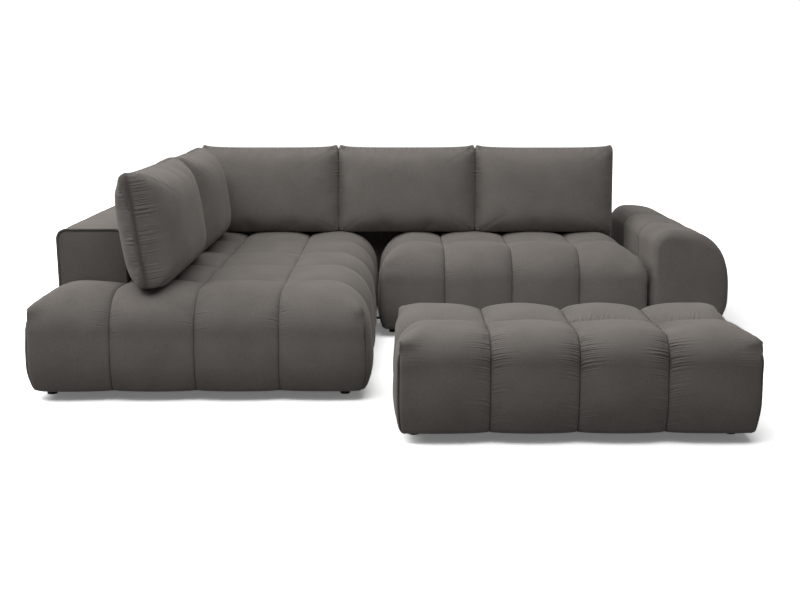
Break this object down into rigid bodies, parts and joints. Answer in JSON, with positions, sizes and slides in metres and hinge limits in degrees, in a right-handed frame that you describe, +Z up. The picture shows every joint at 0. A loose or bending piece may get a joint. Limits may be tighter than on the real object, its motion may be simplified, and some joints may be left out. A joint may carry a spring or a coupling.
{
  "type": "corner sofa",
  "caption": "Low corner sofa with a tufted chaise and seat, flat piped backs, a channelled rounded arm, loose knife-edge back cushions and a matching tufted footstool",
  "frame": {"origin": "on the floor, at the middle of the box round the sofa and its footstool", "axes": "+X along the long back from the chaise to the arm, +Y from the front to the long back, +Z up"},
  "size_m": [3.07, 2.62, 0.8972],
  "materials": {
    "upholstery": "matte",
    "piping": "matte",
    "fibre": "matte",
    "foam": "matte",
    "webbing": "matte",
    "bottom_cloth": "matte",
    "timber": "matte",
    "feet": "satin",
    "steel": "satin"
  },
  "bodies": {
    "sofa": {"chaise_cover": "upholstery", "chaise_foam": "foam", "chaise_webbing": "webbing", "chaise_front_rail": "timber", "chaise_back_rail": "timber", "chaise_side_rails": "timber", "chaise_cross_rails": "timber", "chaise_foot_blocks": "timber", "chaise_bottom_cloth": "bottom_cloth", "chaise_feet": "feet", "seat_cover": "upholstery", "seat_foam": "foam", "seat_webbing": "webbing", "seat_front_rail": "timber", "seat_back_rail": "timber", "seat_side_rails": "timber", "seat_cross_rails": "timber", "seat_foot_blocks": "timber", "seat_bottom_cloth": "bottom_cloth", "seat_feet": "feet", "left_back_cover": "upholstery", "left_back_foam": "foam", "left_back_frame": "timber", "left_back_piping": "piping", "chaise_back_cover": "upholstery", "chaise_back_foam": "foam", "chaise_back_frame": "timber", "seat_back_cover": "upholstery", "seat_back_foam": "foam", "seat_back_frame": "timber", "arm_cover": "upholstery", "arm_foam": "foam", "arm_frame": "timber", "arm_bottom_cloth": "bottom_cloth", "arm_feet": "feet", "joining_plates": "steel", "plate_screws": "steel"},
    "footstool": {"stool_cover": "upholstery", "stool_foam": "foam", "stool_webbing": "webbing", "stool_front_rail": "timber", "stool_back_rail": "timber", "stool_side_rails": "timber", "stool_cross_rails": "timber", "stool_foot_blocks": "timber", "stool_bottom_cloth": "bottom_cloth", "stool_feet": "feet"},
    "front_side_cushion": {"front_side_cushion_cover": "upholstery", "front_side_cushion_filling": "fibre"},
    "corner_side_cushion": {"corner_side_cushion_cover": "upholstery", "corner_side_cushion_filling": "fibre"},
    "left_rear_cushion": {"left_rear_cushion_cover": "upholstery", "left_rear_cushion_filling": "fibre"},
    "middle_rear_cushion": {"middle_rear_cushion_cover": "upholstery", "middle_rear_cushion_filling": "fibre"},
    "right_rear_cushion": {"right_rear_cushion_cover": "upholstery", "right_rear_cushion_filling": "fibre"}
  },
  "joints": [
    {"name": "footstool_slide", "type": "slide", "parent": "sofa", "child": "footstool", "axis": [0, -1, 0], "range_m": [0, 0.6]},
    {"name": "front_side_cushion_lift", "type": "slide", "parent": "sofa", "child": "front_side_cushion", "axis": [0, 0, 1], "range_m": [0, 0.6]},
    {"name": "corner_side_cushion_lift", "type": "slide", "parent": "sofa", "child": "corner_side_cushion", "axis": [0, 0, 1], "range_m": [0, 0.6]},
    {"name": "left_rear_cushion_lift", "type": "slide", "parent": "sofa", "child": "left_rear_cushion", "axis": [0, 0, 1], "range_m": [0, 0.6]},
    {"name": "middle_rear_cushion_lift", "type": "slide", "parent": "sofa", "child": "middle_rear_cushion", "axis": [0, 0, 1], "range_m": [0, 0.6]},
    {"name": "right_rear_cushion_lift", "type": "slide", "parent": "sofa", "child": "right_rear_cushion", "axis": [0, 0, 1], "range_m": [0, 0.6]}
  ]
}
